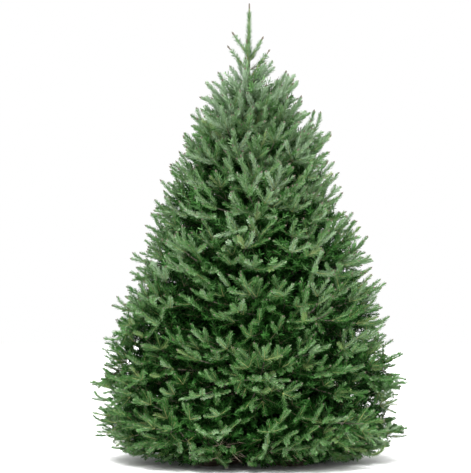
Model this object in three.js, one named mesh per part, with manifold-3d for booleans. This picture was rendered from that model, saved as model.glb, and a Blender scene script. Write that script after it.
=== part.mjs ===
// A cut fir Christmas tree on a plain wooden cross stand.
//
// Millimetres, +Z up. The origin is on the floor, under the middle of the stand, and the front of the tree
// faces -Y. The trunk stays whole from its flat cut to the tip of the leader. Boughs grow from it in whorls,
// and each ends where it enters its own mass of foliage.

import * as THREE from "three";
import { mergeVertices } from "three/addons/utils/BufferGeometryUtils.js";
import { SimplexNoise } from "three/addons/math/SimplexNoise.js";
import Module from "manifold-3d";

const wasm = await Module();
wasm.setup();

// ---- Driving dimensions -------------------------------------------------------------------------------

const GAP = 0.3; // left between pieces that touch

// The cross stand: two timbers halved into each other, and four braces nailed up against the trunk.
const TIMBER_LENGTH = 620;
const TIMBER_WIDTH = 88;
const TIMBER_HEIGHT = 44;
const BRACE_WIDTH = 24;
const BRACE_THICKNESS = 40; // along the timber
const BRACE_TOP = 136;

// The trunk.
const TREE_HEIGHT = 2130;
const LEADER_FOOT = 1872; // where this year's leader begins
const BUTT_RADIUS = 46;
const BUTT_FLARE = 5;
const FLARE_HEIGHT = 45;
const LEADER_RADIUS = 6.5;
const TIP_RADIUS = 3;
const TRUNK_SIDES = 11;
const TRUNK_STEPS = 15;
const TRUNK_STEP_GROWTH = 1.5; // rings are closest together at the flared butt
const TRUNK_SWEEP = 7; // how far the stem wanders from a plumb line

// The crown's outline: a rounded foot, its widest girth, and a full shoulder that closes at the leader.
const CROWN_FOOT = 24;
const CROWN_TOP = 1930;
const CROWN_RADIUS = 695;
const GIRTH_HEIGHT = 265;
const SHOULDER_CURVE = 1.25;
const SHOULDER_FULLNESS = 0.7;
const FOOT_UNDERCUT = 0.2;
const FOOT_CURVE = 1.8;

// How far the layers of foliage climb for each millimetre outwards, at the foot and at the top.
const CLIMB_AT_FOOT = -0.2;
const CLIMB_AT_TOP = 0.95;
const CLIMB_CURVE = 1.1;

// The layers, from the floor up: the height of the top edge on the outline, how many masses share the layer,
// where the parting before the first of them faces, how far in the masses reach, and whether boughs carry them.
const LAYERS = [
  { top: 318, masses: 5, parting: -91, inner: 0.44, boughs: true },
  { top: 588, masses: 5, parting: -128, inner: 0.42, boughs: true },
  { top: 856, masses: 4, parting: -113, inner: 0.4, boughs: true },
  { top: 1112, masses: 4, parting: -155, inner: 0.36, boughs: true },
  { top: 1358, masses: 3, parting: -142, inner: 0.32, boughs: true },
  { top: 1604, masses: 3, parting: -84, inner: 0, boughs: false },
  { top: 1884, masses: 2, parting: -150, inner: 0, boughs: false },
];
const PARTING_SPREAD = 0.16; // how unevenly a layer is shared out
const LAYER_WAVE = 18; // the layers' edges rise and fall by this, three times round the tree
const MASS_SPACING = 9; // between one mass and the next
const TRUNK_CLEARANCE = 4; // between an upper mass and the stem that it is cut round
const MASS_SQUARENESS = 6; // 2 is a ball, and more fills the corners of its share of the crown
const MASS_DETAIL = 3;
const SMALL_MASS_DETAIL = 2;
const OUTWARD_BIAS = 0.45; // puts more of the facets on the outside
const TUFT_SIZE = 120;
const TUFT_DEPTH = 32;
const MASS_REACH = 1.022; // the middle of a mass stands a little proud of the outline
const REACH_SPREAD = 0.015;

// The boughs.
const BOUGH_SIDES = 5;
const BOUGH_STEPS = 3;
const BOUGH_ROOT_RADIUS = 13;
const BOUGH_ROOT_RADIUS_TOP = 8;
const BOUGH_TAPER = 0.72;
const BOUGH_SAG = 0.05; // of its length
const BOUGH_ENTRY = 70; // how far it would run on into the mass before it is cut off there

// The topmost shoots, round the foot of the leader: facing, height on the stem, length and steepness.
const TOP_SHOOTS = [
  { facing: 172, height: 1884, length: 124, steepness: 53 },
  { facing: 18, height: 1850, length: 140, steepness: 58 },
  { facing: 203, height: 1808, length: 144, steepness: 45 },
  { facing: -16, height: 1768, length: 182, steepness: 51 },
  { facing: -98, height: 1832, length: 128, steepness: 57 },
];
const TOP_SHOOT_RADIUS = 3.6;
const TOP_SHOOT_TIP = 2.2;
const TOP_SHOOT_CURL = 0.04; // its tip turns up by this share of its length

// ---- Materials ----------------------------------------------------------------------------------------

function matt(color, roughness) {
  return new THREE.MeshStandardMaterial({ color, roughness, metalness: 0 });
}

const BARK = matt(0x6b5a49, 0.9);
const TWIG = matt(0x7c7350, 0.8);
const NEEDLES = matt(0x3f6b41, 0.75);
const TIMBER = matt(0x4a3828, 0.7);

// ---- Small helpers ------------------------------------------------------------------------------------

// A seeded random number generator, so that the tree is the same each time.
function seeded(seed) {
  let state = seed;
  return () => {
    state = (state * 1664525 + 1013904223) % 4294967296;
    return state / 4294967296;
  };
}

const unevenness = new SimplexNoise({ random: seeded(7) });
const dice = seeded(41);

function around(degrees) {
  const angle = THREE.MathUtils.degToRad(degrees);
  return new THREE.Vector3(Math.cos(angle), Math.sin(angle), 0);
}

function solidFrom(geometry) {
  const bare = geometry.clone();
  bare.deleteAttribute("normal");
  bare.deleteAttribute("uv");
  const merged = mergeVertices(bare, 1e-4);
  return new wasm.Manifold(
    new wasm.Mesh({
      numProp: 3,
      vertProperties: merged.attributes.position.array,
      triVerts: new Uint32Array(merged.index.array),
    }),
  );
}

function geometryFrom(solid) {
  const mesh = solid.getMesh();
  const positions = new Float32Array(mesh.numVert * 3);
  for (let i = 0; i < mesh.numVert; i++) {
    positions.set(mesh.vertProperties.subarray(i * mesh.numProp, i * mesh.numProp + 3), i * 3);
  }
  const geometry = new THREE.BufferGeometry();
  geometry.setAttribute("position", new THREE.BufferAttribute(positions, 3));
  geometry.setIndex(new THREE.BufferAttribute(mesh.triVerts, 1));
  geometry.computeVertexNormals();
  return geometry;
}

// A closed round limb through a row of middles, with a radius at each.
function limb(middles, radii, sides) {
  const last = middles.length - 1;
  const run = middles[last].clone().sub(middles[0]);
  const sideways = Math.abs(run.x) < Math.abs(run.y) ? around(0) : around(90);
  const points = [];
  middles.forEach((middle, i) => {
    const before = middles[Math.max(i - 1, 0)];
    const along = middles[Math.min(i + 1, last)].clone().sub(before).normalize();
    const across = sideways.clone().cross(along).normalize();
    const upright = along.clone().cross(across);
    for (let j = 0; j < sides; j++) {
      const turn = (2 * Math.PI * j) / sides;
      const spoke = across.clone().multiplyScalar(Math.cos(turn)).addScaledVector(upright, Math.sin(turn));
      points.push(middle.clone().addScaledVector(spoke, radii[i]));
    }
  });
  const index = [];
  for (let j = 0; j < sides; j++) {
    const k = (j + 1) % sides;
    for (let i = 0; i < last; i++) {
      const [a, b] = [i * sides + j, i * sides + k];
      const [c, d] = [a + sides, b + sides];
      index.push(a, b, d, a, d, c);
    }
  }
  for (let j = 1; j < sides - 1; j++) {
    const tip = last * sides;
    index.push(0, j + 1, j, tip, tip + j, tip + j + 1);
  }
  const geometry = new THREE.BufferGeometry().setFromPoints(points);
  geometry.setIndex(index);
  geometry.computeVertexNormals();
  return geometry;
}

// A limb that tapers evenly along a curve.
function taperedLimb(curve, rootRadius, tipRadius) {
  const middles = curve.getSpacedPoints(BOUGH_STEPS);
  const radii = middles.map((_, i) => THREE.MathUtils.lerp(rootRadius, tipRadius, i / BOUGH_STEPS));
  return limb(middles, radii, BOUGH_SIDES);
}

// A solid cut clear of a neighbour. The gap is left on the neighbour's far side and on both of its flanks.
function cutClear(solid, neighbour, facing) {
  const shifts = [around(facing), around(facing - 90), around(facing + 90)];
  return shifts.reduce((rest, shift) => {
    const { x, y } = shift.multiplyScalar(GAP);
    return rest.subtract(neighbour.translate([x, y, 0]));
  }, solid.subtract(neighbour));
}

// The largest piece of a solid that has been cut.
function largestPiece(solid) {
  const pieces = solid.decompose().sort((a, b) => b.volume() - a.volume());
  return geometryFrom(pieces[0]);
}

// ---- The trunk ----------------------------------------------------------------------------------------

// The stem's radius at a height: a straight taper with a flared butt, then the slender leader.
function trunkRadius(z) {
  if (z > LEADER_FOOT) {
    return THREE.MathUtils.mapLinear(z, LEADER_FOOT, TREE_HEIGHT, LEADER_RADIUS, TIP_RADIUS);
  }
  const taper = THREE.MathUtils.mapLinear(z, TIMBER_HEIGHT, LEADER_FOOT, BUTT_RADIUS, LEADER_RADIUS);
  return taper + BUTT_FLARE * Math.exp(-(z - TIMBER_HEIGHT) / FLARE_HEIGHT);
}

// Where the middle of the stem is at a height. It starts over the stand, wanders, and ends near plumb.
function trunkMiddle(z) {
  const share = z / TREE_HEIGHT;
  const x = TRUNK_SWEEP * Math.sin(Math.PI * share * 2) * share;
  const y = TRUNK_SWEEP * Math.sin(Math.PI * share * 1.5) * share;
  return new THREE.Vector3(x, y, z);
}

function trunkGeometry(growth) {
  const foot = TIMBER_HEIGHT + GAP;
  const heights = [];
  for (let i = 0; i <= TRUNK_STEPS; i++) {
    const share = Math.pow(i / TRUNK_STEPS, TRUNK_STEP_GROWTH);
    heights.push(THREE.MathUtils.lerp(foot, TREE_HEIGHT, share));
  }
  const radii = heights.map((z) => trunkRadius(z) + growth);
  return limb(heights.map(trunkMiddle), radii, TRUNK_SIDES);
}

// ---- The crown's outline and layers -------------------------------------------------------------------

function crownRadius(z) {
  if (z < GIRTH_HEIGHT) {
    return CROWN_RADIUS * (1 - FOOT_UNDERCUT * Math.pow(1 - z / GIRTH_HEIGHT, FOOT_CURVE));
  }
  const share = Math.min(1, (z - GIRTH_HEIGHT) / (CROWN_TOP - GIRTH_HEIGHT));
  return CROWN_RADIUS * Math.pow(1 - Math.pow(share, SHOULDER_CURVE), SHOULDER_FULLNESS);
}

function climb(z) {
  return CLIMB_AT_FOOT + (CLIMB_AT_TOP - CLIMB_AT_FOOT) * Math.pow(z / CROWN_TOP, CLIMB_CURVE);
}

// The height, r from the axis, of the sloping surface that meets the outline at height edge.
function layerHeight(edge, r) {
  return edge - (crownRadius(edge) - r) * climb(edge);
}

// ---- A mass of foliage --------------------------------------------------------------------------------

// The height on the outline of a layer's edge, in a direction given in degrees.
function layerEdge(top, degrees) {
  return top + LAYER_WAVE * Math.sin(3 * THREE.MathUtils.degToRad(degrees) + top);
}

// A rounded block of the crown between two layer edges and two partings, with a tufted outside.
function massGeometry({ facing, spread, low, high, inner, reach, detail }) {
  const ball = new THREE.IcosahedronGeometry(1, detail);
  ball.deleteAttribute("normal");
  ball.deleteAttribute("uv");
  const geometry = mergeVertices(ball, 1e-4);
  const position = geometry.attributes.position;
  const p = new THREE.Vector3();
  for (let i = 0; i < position.count; i++) {
    // On a block with rounded corners, x is sideways, y is up and z is outwards, each from -1 to 1.
    p.fromBufferAttribute(position, i);
    p.z += OUTWARD_BIAS;
    const powers = p.toArray().map((value) => Math.abs(value) ** MASS_SQUARENESS);
    p.divideScalar((powers[0] + powers[1] + powers[2]) ** (1 / MASS_SQUARENESS));
    const degrees = facing + (p.x * spread) / 2;
    const bottom = layerEdge(low, degrees) + MASS_SPACING / 2;
    const top = layerEdge(high, degrees) - MASS_SPACING / 2;
    const edge = THREE.MathUtils.mapLinear(p.y, -1, 1, bottom, top);
    const outline = crownRadius(edge);
    const stem = trunkRadius(layerHeight(edge, 0)) + TRUNK_SWEEP + TRUNK_CLEARANCE;
    const from = Math.max(inner * outline, stem);
    const to = Math.max(outline * reach, from + TUFT_DEPTH);
    let r = THREE.MathUtils.lerp(from, to, (p.z + 1) / 2);
    const inset = THREE.MathUtils.radToDeg(MASS_SPACING / 2 / r);
    const direction = around(degrees - p.x * inset);
    const sample = direction.clone().multiplyScalar(r / TUFT_SIZE).setZ(edge / TUFT_SIZE);
    r += TUFT_DEPTH * unevenness.noise3d(sample.x, sample.y, sample.z) * Math.max(0, p.z);
    const z = layerHeight(edge, r);
    position.setXYZ(i, direction.x * r, direction.y * r, z);
  }
  geometry.computeVertexNormals();
  return geometry;
}

// ---- A bough ------------------------------------------------------------------------------------------

// It leaves the stem along its layer's slope, sags a little, and is cut off where it meets its mass.
function boughGeometry({ facing, low, high, inner }, mass, stem) {
  const edge = (low + high) / 2;
  const direction = around(facing);
  const entry = inner * crownRadius(edge) + BOUGH_ENTRY;
  const root = direction.clone().multiplyScalar(trunkRadius(layerHeight(edge, 0)) * 0.5);
  root.z = layerHeight(edge, 0);
  root.add(trunkMiddle(root.z).setZ(0));
  const end = direction.clone().multiplyScalar(entry).setZ(layerHeight(edge, entry));
  const middle = root.clone().lerp(end, 0.5);
  middle.z -= BOUGH_SAG * root.distanceTo(end);
  const curve = new THREE.QuadraticBezierCurve3(root, middle, end);
  const rootRadius = THREE.MathUtils.lerp(BOUGH_ROOT_RADIUS, BOUGH_ROOT_RADIUS_TOP, root.z / CROWN_TOP);
  const whole = solidFrom(taperedLimb(curve, rootRadius, rootRadius * BOUGH_TAPER));
  return largestPiece(cutClear(whole.subtract(stem), mass, facing + 180));
}

// ---- A topmost shoot ----------------------------------------------------------------------------------

function topShootGeometry({ facing, height, length, steepness }, stem, masses) {
  const lean = THREE.MathUtils.degToRad(steepness);
  const along = around(facing).multiplyScalar(Math.cos(lean)).setZ(Math.sin(lean));
  const root = trunkMiddle(height);
  const bend = root.clone().addScaledVector(along, length * 0.55);
  const tip = root.clone().addScaledVector(along, length);
  tip.z += length * TOP_SHOOT_CURL;
  const curve = new THREE.QuadraticBezierCurve3(root, bend, tip);
  const whole = solidFrom(taperedLimb(curve, TOP_SHOOT_RADIUS, TOP_SHOOT_TIP));
  return largestPiece(masses.reduce((rest, mass) => cutClear(rest, mass, facing), whole.subtract(stem)));
}

// ---- The stand ----------------------------------------------------------------------------------------

// Two equal timbers crossed at their middles. Each has half its height cut away there for the other.
function timberGeometry(notchAbove) {
  const half = TIMBER_LENGTH / 2;
  const notch = TIMBER_WIDTH / 2 + GAP;
  const middle = TIMBER_HEIGHT / 2 + (notchAbove ? -GAP / 2 : GAP / 2);
  const outline = new THREE.Shape();
  outline.moveTo(-half, 0);
  if (!notchAbove) {
    outline.lineTo(-notch, 0).lineTo(-notch, middle).lineTo(notch, middle).lineTo(notch, 0);
  }
  outline.lineTo(half, 0).lineTo(half, TIMBER_HEIGHT);
  if (notchAbove) {
    outline.lineTo(notch, TIMBER_HEIGHT).lineTo(notch, middle).lineTo(-notch, middle).lineTo(-notch, TIMBER_HEIGHT);
  }
  outline.lineTo(-half, TIMBER_HEIGHT);
  const geometry = new THREE.ExtrudeGeometry(outline, { depth: TIMBER_WIDTH, bevelEnabled: false });
  geometry.translate(0, 0, -TIMBER_WIDTH / 2);
  geometry.rotateX(Math.PI / 2);
  return geometry;
}

// A slanting brace from the top of a timber to the side of the trunk.
function braceGeometry() {
  const foot = TIMBER_HEIGHT + GAP;
  const near = trunkRadius(TIMBER_HEIGHT) + TRUNK_SWEEP * 0.1 + GAP;
  const run = BRACE_TOP - BRACE_THICKNESS - foot;
  const outline = new THREE.Shape();
  outline.moveTo(near + run, foot).lineTo(near + run + BRACE_THICKNESS, foot);
  outline.lineTo(near, BRACE_TOP).lineTo(near, BRACE_TOP - BRACE_THICKNESS);
  const geometry = new THREE.ExtrudeGeometry(outline, { depth: BRACE_WIDTH, bevelEnabled: false });
  geometry.translate(0, 0, -BRACE_WIDTH / 2);
  geometry.rotateX(Math.PI / 2);
  return geometry;
}

// ---- Putting it together ------------------------------------------------------------------------------

const tree = new THREE.Group();
tree.name = "christmas_tree";

function place(name, geometry, material, turn = 0) {
  const mesh = new THREE.Mesh(geometry, material);
  mesh.name = name;
  mesh.rotation.z = THREE.MathUtils.degToRad(turn);
  tree.add(mesh);
}

place("stand_timber_1", timberGeometry(true), TIMBER, 45);
place("stand_timber_2", timberGeometry(false), TIMBER, 135);
for (let i = 0; i < 4; i++) {
  place(`stand_brace_${i + 1}`, braceGeometry(), TIMBER, 45 + 90 * i);
}

place("trunk", trunkGeometry(0), BARK);
const stem = solidFrom(trunkGeometry(GAP));

// Where each layer is parted, in degrees, with the first parting again at the end, one turn on.
function partings({ parting, masses }) {
  const share = 360 / masses;
  const list = [];
  for (let j = 0; j < masses; j++) {
    const jitter = j === 0 ? 0 : PARTING_SPREAD * (2 * dice() - 1);
    list.push(parting + share * (j + jitter));
  }
  return [...list, parting + 360];
}

const topMasses = [];
LAYERS.forEach((layer, i) => {
  const edges = partings(layer);
  for (let j = 0; j < layer.masses; j++) {
    const share = {
      facing: (edges[j] + edges[j + 1]) / 2,
      spread: edges[j + 1] - edges[j],
      low: i === 0 ? CROWN_FOOT + LAYER_WAVE : LAYERS[i - 1].top,
      high: layer.top,
      inner: layer.inner,
      reach: MASS_REACH + REACH_SPREAD * (2 * dice() - 1),
      detail: layer.boughs ? MASS_DETAIL : SMALL_MASS_DETAIL,
    };
    const geometry = massGeometry(share);
    const solid = solidFrom(geometry);
    const label = `${i + 1}_${j + 1}`;
    place(`foliage_${label}`, geometry, NEEDLES);
    if (layer.boughs) {
      place(`bough_${label}`, boughGeometry(share, solid, stem), BARK);
    }
    if (i === LAYERS.length - 1) {
      topMasses.push(solid);
    }
  }
});

TOP_SHOOTS.forEach((shoot, i) => {
  place(`top_shoot_${i + 1}`, topShootGeometry(shoot, stem, topMasses), TWIG);
});

export default tree;
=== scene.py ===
# A cut fir Christmas tree on a wooden cross stand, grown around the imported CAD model. Blender 4.5, metres.
#
# The CAD masses give the crown its outline. Boughs run on into them from the CAD limbs, and branches leave
# the boughs or the trunk for tips that are spread over the outline and over smaller ones inside it. Every
# branch carries fans of needled shoots, one year of growth after another. Needles, twigs, buds and branches
# are each joined into a piece for every layer.
#
# A value that changes with height, or along a shoot, is given as a row of places and a row of what it is
# there. np.interp(place, *ROWS) reads it.

import math
from collections import namedtuple

import bpy
import numpy as np
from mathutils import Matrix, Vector, noise
from mathutils.bvhtree import BVHTree


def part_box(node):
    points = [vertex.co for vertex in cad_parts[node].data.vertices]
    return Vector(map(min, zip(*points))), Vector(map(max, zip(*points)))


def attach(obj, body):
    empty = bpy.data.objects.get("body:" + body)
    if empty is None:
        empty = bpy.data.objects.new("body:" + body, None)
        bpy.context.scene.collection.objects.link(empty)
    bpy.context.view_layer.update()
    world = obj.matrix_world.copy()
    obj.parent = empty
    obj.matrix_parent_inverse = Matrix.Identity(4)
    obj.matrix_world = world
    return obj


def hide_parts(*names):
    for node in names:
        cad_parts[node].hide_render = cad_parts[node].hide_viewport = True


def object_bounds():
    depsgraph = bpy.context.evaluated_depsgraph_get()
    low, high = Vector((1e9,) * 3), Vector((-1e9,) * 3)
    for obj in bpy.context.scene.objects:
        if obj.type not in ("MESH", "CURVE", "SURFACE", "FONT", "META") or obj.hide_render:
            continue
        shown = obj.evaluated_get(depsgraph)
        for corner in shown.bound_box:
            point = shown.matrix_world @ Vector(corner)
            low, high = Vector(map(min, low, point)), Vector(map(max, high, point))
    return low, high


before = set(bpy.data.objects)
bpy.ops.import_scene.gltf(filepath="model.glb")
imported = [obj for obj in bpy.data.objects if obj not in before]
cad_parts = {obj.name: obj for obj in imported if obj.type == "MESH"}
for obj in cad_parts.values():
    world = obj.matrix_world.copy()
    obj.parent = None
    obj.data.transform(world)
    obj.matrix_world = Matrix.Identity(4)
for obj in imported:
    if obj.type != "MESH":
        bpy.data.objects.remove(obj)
cad_low, cad_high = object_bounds()

SEED = 21
rng = np.random.default_rng(SEED)
UP = np.array([0.0, 0.0, 1.0])
HEIGHT = cad_high.z
BODY = "root"


def placed(name, data):
    """A new object in the scene."""
    thing = bpy.data.objects.new(name, data)
    bpy.context.scene.collection.objects.link(thing)
    return thing


# ---- Camera, light and floor --------------------------------------------------------------------------

CAMERA_DISTANCE = 7.0
CAMERA_HEIGHT = 0.66
FRAME_HEIGHT = 2.195  # what the picture's height spans at the trunk
FRAME_CENTRE = Vector((-0.065, 0.0, 1.036))
SENSOR = 36.0

# Each lamp's turn and climb in degrees, its strength, and how wide it looks from the tree in degrees.
LAMPS = {"key": (-10, 60, 6.0, 28), "fill": (50, 35, 0.7, 70)}
WORLD_STRENGTH = 1.0
FLOOR_REACH = 30.0
FLOOR_WHITE = (0.92, 0.92, 0.92)
FLOOR_ROUGHNESS = 0.9


def add_camera():
    data = bpy.data.cameras.new("camera")
    data.sensor_width = SENSOR
    camera = placed("camera", data)
    camera.location = (FRAME_CENTRE.x, -CAMERA_DISTANCE, CAMERA_HEIGHT)
    aim = FRAME_CENTRE - camera.location
    camera.rotation_euler = aim.to_track_quat("-Z", "Y").to_euler()
    data.lens = SENSOR * aim.length / FRAME_HEIGHT
    bpy.context.scene.camera = camera


def add_light():
    scene = bpy.context.scene
    scene.view_settings.view_transform = "Standard"
    scene.world = bpy.data.worlds.new("studio")
    scene.world.use_nodes = True
    background = scene.world.node_tree.nodes["Background"]
    background.inputs["Color"].default_value = (1, 1, 1, 1)
    background.inputs["Strength"].default_value = WORLD_STRENGTH
    for name, (turn, climb, strength, width) in LAMPS.items():
        data = bpy.data.lights.new(name, "SUN")
        data.energy = strength
        data.angle = math.radians(width)
        placed(name, data).rotation_euler = (math.radians(90 - climb), 0, math.radians(turn))


def add_floor():
    mesh = bpy.data.meshes.new("floor")
    corners = [(x * FLOOR_REACH, y * FLOOR_REACH, 0) for x, y in ((-1, -1), (1, -1), (1, 1), (-1, 1))]
    mesh.from_pydata(corners, [], [(0, 1, 2, 3)])
    floor = placed("floor", mesh)
    mesh.materials.append(plain_material("floor_white", FLOOR_WHITE, FLOOR_ROUGHNESS))


# ---- Materials ----------------------------------------------------------------------------------------

# The needles' greens, from the bluish bloom of new growth to the deep green of old needles inside. The
# palest also serve as painted highlight, and the darkest as painted shade deep inside the crown.
NEEDLE_GREENS = [
    (0.310, 0.420, 0.282),
    (0.258, 0.367, 0.228),
    (0.184, 0.298, 0.147),
    (0.125, 0.240, 0.090),
    (0.082, 0.190, 0.054),
    (0.050, 0.145, 0.031),
    (0.027, 0.108, 0.0155),
    (0.0135, 0.064, 0.0075),
    (0.006, 0.033, 0.0035),
    (0.255, 0.345, 0.140),
    (0.145, 0.232, 0.070),
]
DEEPEST_GREEN = 8
YELLOW_GREENS = (9, 10)  # of the odd shoot that has yellowed
NEEDLE_SHEENS = ([4, 8, 9], [0.3, 0.06, 0.3])  # by a green's place in the row
NEEDLE_ROUGHNESS = 0.55

# This year's twigs, last year's, older ones, and bare ones.
TWIG_BROWNS = [(0.34, 0.34, 0.13), (0.13, 0.112, 0.06), (0.06, 0.047, 0.03), (0.27, 0.22, 0.16)]
LAST_YEARS_TWIG = 1
OLD_TWIG = 2
BARE_TWIG = 3
BUD_BROWN = (0.125, 0.105, 0.08)
TWIG_ROUGHNESS = 0.75
BUD_ROUGHNESS = 0.7

BARK_COLOURS = [(0.04, 0.032, 0.025), (0.105, 0.088, 0.068), (0.21, 0.19, 0.155)]
LEADER_COLOURS = [(0.09, 0.12, 0.05), (0.19, 0.24, 0.12), (0.30, 0.34, 0.20)]
BARK_STOPS = (0.3, 0.5, 0.72)
# A near-black stain, which also paints the deep shade at the foot of the tree.
TIMBER_STAIN_AND_SHADE_COLOURS = [(0.02, 0.013, 0.008), (0.05, 0.034, 0.022), (0.095, 0.068, 0.044)]
TIMBER_STOPS = (0.32, 0.52, 0.75)
DULL = 0.3  # the specular level of bark, twigs, buds and timber


def plain_material(name, colour, roughness, specular=0.5):
    material = bpy.data.materials.new(name)
    material.use_nodes = True
    shader = material.node_tree.nodes["Principled BSDF"]
    shader.inputs["Base Color"].default_value = (*colour, 1)
    shader.inputs["Roughness"].default_value = roughness
    shader.inputs["Specular IOR Level"].default_value = specular
    material.diffuse_color = (*colour, 1)
    return material


def add_node(tree, kind, **settings):
    node = tree.nodes.new(kind)
    for name, value in settings.items():
        if name in node.inputs:
            node.inputs[name].default_value = value
        else:
            setattr(node, name, value)
    return node


def colour_from(tree, source, stops, colours):
    """The base colour runs through these colours as the source goes through these stops."""
    node = tree.nodes.new("ShaderNodeValToRGB")
    tree.links.new(source, node.inputs["Fac"])
    elements = node.color_ramp.elements
    while len(elements) < len(stops):
        elements.new(0.5)
    for element, stop, colour in zip(elements, stops, colours):
        element.position = stop
        element.color = (*colour, 1)
    tree.links.new(node.outputs["Color"], tree.nodes["Principled BSDF"].inputs["Base Color"])


def bump_from(tree, source, strength, depth):
    bump = add_node(tree, "ShaderNodeBump", Strength=strength, Distance=depth)
    tree.links.new(source, bump.inputs["Height"])
    tree.links.new(bump.outputs["Normal"], tree.nodes["Principled BSDF"].inputs["Normal"])


def bark_material(name, colours):
    """Smooth young fir bark, with darker blotches, a pale bloom and fine cross-wise pores."""
    material = plain_material(name, colours[1], 0.85, DULL)
    tree = material.node_tree
    place = add_node(tree, "ShaderNodeTexCoord").outputs["Object"]
    blotch = add_node(tree, "ShaderNodeTexNoise", Scale=38.0, Detail=6.0, Roughness=0.6)
    tree.links.new(place, blotch.inputs["Vector"])
    colour_from(tree, blotch.outputs["Fac"], BARK_STOPS, colours)
    squash = add_node(tree, "ShaderNodeMapping", Scale=(1.0, 1.0, 4.0))
    tree.links.new(place, squash.inputs["Vector"])
    pores = add_node(tree, "ShaderNodeTexVoronoi", Scale=160.0)
    tree.links.new(squash.outputs["Vector"], pores.inputs["Vector"])
    bump_from(tree, pores.outputs["Distance"], 0.5, 0.002)
    return material


def timber_material(turn):
    """Dark-stained sawn spruce with its grain along a timber that lies at this turn, in degrees. The
    near-black stain also paints the deep shade at the foot of the tree.
    """
    material = plain_material(f"stain_and_painted_shade_timber_{turn}", TIMBER_STAIN_AND_SHADE_COLOURS[1], 0.6, DULL)
    tree = material.node_tree
    place = add_node(tree, "ShaderNodeTexCoord").outputs["Object"]
    along = add_node(tree, "ShaderNodeMapping", vector_type="TEXTURE", Scale=(12.0, 1.0, 1.0))
    along.inputs["Rotation"].default_value = (0, 0, math.radians(turn))
    tree.links.new(place, along.inputs["Vector"])
    grain = add_node(tree, "ShaderNodeTexNoise", Scale=120.0, Detail=6.0, Distortion=0.4)
    tree.links.new(along.outputs["Vector"], grain.inputs["Vector"])
    colour_from(tree, grain.outputs["Fac"], TIMBER_STOPS, TIMBER_STAIN_AND_SHADE_COLOURS)
    bump_from(tree, grain.outputs["Fac"], 0.4, 0.0008)
    return material


# ---- Meshes from arrays -------------------------------------------------------------------------------


def mesh_piece(name, points, faces, materials, tones=None, smooth=False):
    """A mesh object from an array of points and arrays of faces, each array with faces of one size."""
    mesh = bpy.data.meshes.new(name)
    sizes = np.concatenate([np.full(len(block), block.shape[1]) for block in faces])
    corners = np.concatenate([block.ravel() for block in faces]).astype(np.int32)
    mesh.vertices.add(len(points))
    mesh.vertices.foreach_set("co", points.astype(np.float32).ravel())
    mesh.loops.add(len(corners))
    mesh.loops.foreach_set("vertex_index", corners)
    mesh.polygons.add(len(sizes))
    starts = np.concatenate([[0], np.cumsum(sizes)[:-1]])
    mesh.polygons.foreach_set("loop_start", starts.astype(np.int32))
    for material in materials:
        mesh.materials.append(material)
    if tones is not None:
        mesh.polygons.foreach_set("material_index", tones.astype(np.int32))
    mesh.polygons.foreach_set("use_smooth", np.full(len(sizes), smooth))
    mesh.update(calc_edges=True)
    return placed(name, mesh)


def keep(piece, nodes):
    """The piece rides on the tree's one body and stands for these CAD nodes."""
    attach(piece, BODY)
    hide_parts(*nodes)


def unit(vector):
    return vector / np.linalg.norm(vector, axis=-1, keepdims=True)


def level(vector):
    """The vector without its rise."""
    return vector * np.array([1, 1, 0])


def turned(vector, axis, degrees):
    """The vector turned about a unit axis."""
    angle = math.radians(degrees)
    across = np.cross(axis, vector)
    along = axis * np.dot(axis, vector) * (1 - math.cos(angle))
    return vector * math.cos(angle) + across * math.sin(angle) + along


def spokes_between(across, upright, sides):
    """Unit vectors evenly all round, in the plane of each pair across and upright."""
    turns = np.arange(sides) * 2 * math.pi / sides
    return across[:, None] * np.cos(turns)[None, :, None] + upright[:, None] * np.sin(turns)[None, :, None]


def tube(points, radii, sides, relief=None):
    """A closed round limb through points. relief gives how far a surface point is raised."""
    tangents = unit(np.gradient(points, axis=0))
    run = points[-1] - points[0]
    guide = np.array([1.0, 0, 0]) if abs(run[0]) < abs(run[1]) else np.array([0, 1.0, 0])
    across = unit(np.cross(guide, tangents))
    spokes = spokes_between(across, np.cross(tangents, across), sides)
    rings = points[:, None] + spokes * radii[:, None, None]
    if relief is not None:
        heights = [[relief(Vector(p)) for p in ring] for ring in rings]
        rings = rings + spokes * np.array(heights)[:, :, None]
    ring_starts = np.arange(len(points) - 1)[:, None] * sides
    first = ring_starts + np.arange(sides)[None, :]
    after = ring_starts + (np.arange(sides)[None, :] + 1) % sides
    quads = np.stack([first, after, after + sides, first + sides], axis=-1).reshape(-1, 4)
    fan = np.arange(1, sides - 1)
    root_cap = np.stack([np.zeros_like(fan), fan + 1, fan], axis=-1)
    tip_cap = (len(points) - 1) * sides + np.stack([np.zeros_like(fan), fan, fan + 1], axis=-1)
    return rings.reshape(-1, 3), quads, np.concatenate([root_cap, tip_cap])


def joined(tubes):
    """Several tubes as one set of points and faces."""
    points, quads, triangles = [], [], []
    count = 0
    for corners, sides, caps in tubes:
        points.append(corners)
        quads.append(sides + count)
        triangles.append(caps + count)
        count += len(corners)
    return np.concatenate(points), [np.concatenate(quads), np.concatenate(triangles)]


# ---- What the CAD model says --------------------------------------------------------------------------

MASSES = sorted(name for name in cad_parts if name.startswith("foliage_"))
TOP_SHOOTS = sorted(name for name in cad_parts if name.startswith("top_shoot_"))
LAYERS = sorted({int(name.split("_")[1]) for name in MASSES})
RING_REACH = 0.006  # either side of the height of a ring of the trunk's corners
END_SHARE = 0.2  # of a CAD limb's corners, taken as one of its ends


def layer_of(mass):
    return int(mass.split("_")[1])


def masses_of(layer):
    return [mass for mass in MASSES if layer_of(mass) == layer]


def layer_nodes(layer):
    """The CAD nodes that a layer's needles and twigs stand for."""
    return masses_of(layer) + (TOP_SHOOTS if layer == LAYERS[-1] else [])


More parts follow.
